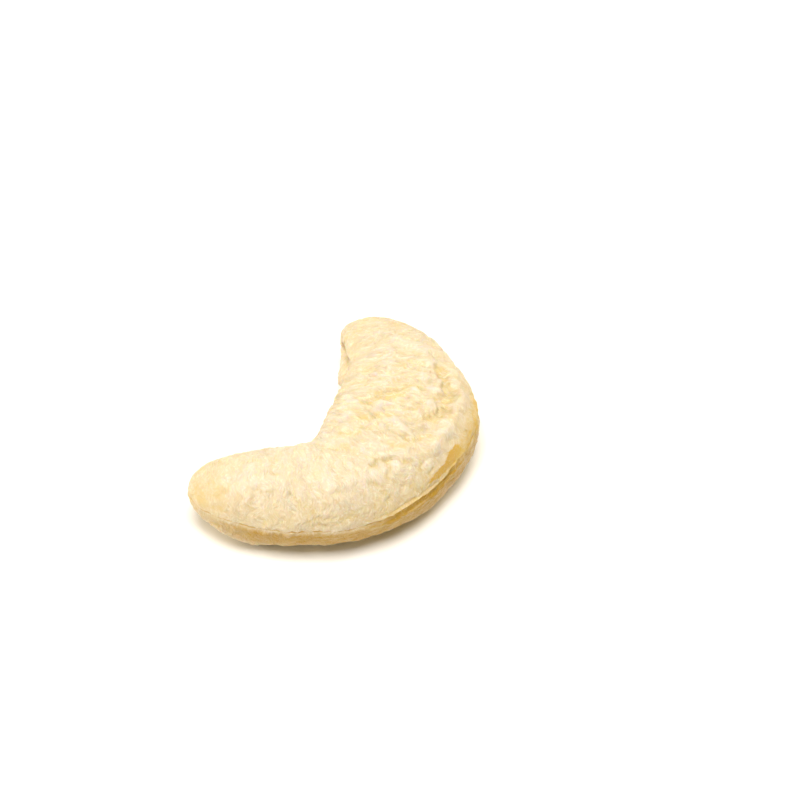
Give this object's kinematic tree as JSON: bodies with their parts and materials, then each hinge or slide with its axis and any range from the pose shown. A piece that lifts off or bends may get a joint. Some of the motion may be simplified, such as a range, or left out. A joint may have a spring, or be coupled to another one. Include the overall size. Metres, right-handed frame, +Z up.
{
  "type": "cashew kernel",
  "caption": "Whole shelled nut kernel, bent like a kidney, with a seam round its outer edge and a cleft in its hollow side, lying on its broad side as food or filling.",
  "frame": {"origin": "middle of the kernel's outline seen from above, on the surface that it lies on", "axes": "+Z up, across the kernel's broad side; +X from the pointed tip to the blunt tip; the hollow side faces +Y"},
  "size_m": [0.0272, 0.0182, 0.0095],
  "materials": {
    "kernel_flesh": "pale cream nut flesh, dull to slightly waxy"
  },
  "bodies": {
    "root": {"cashew_kernel": "kernel_flesh"}
  },
  "joints": []
}
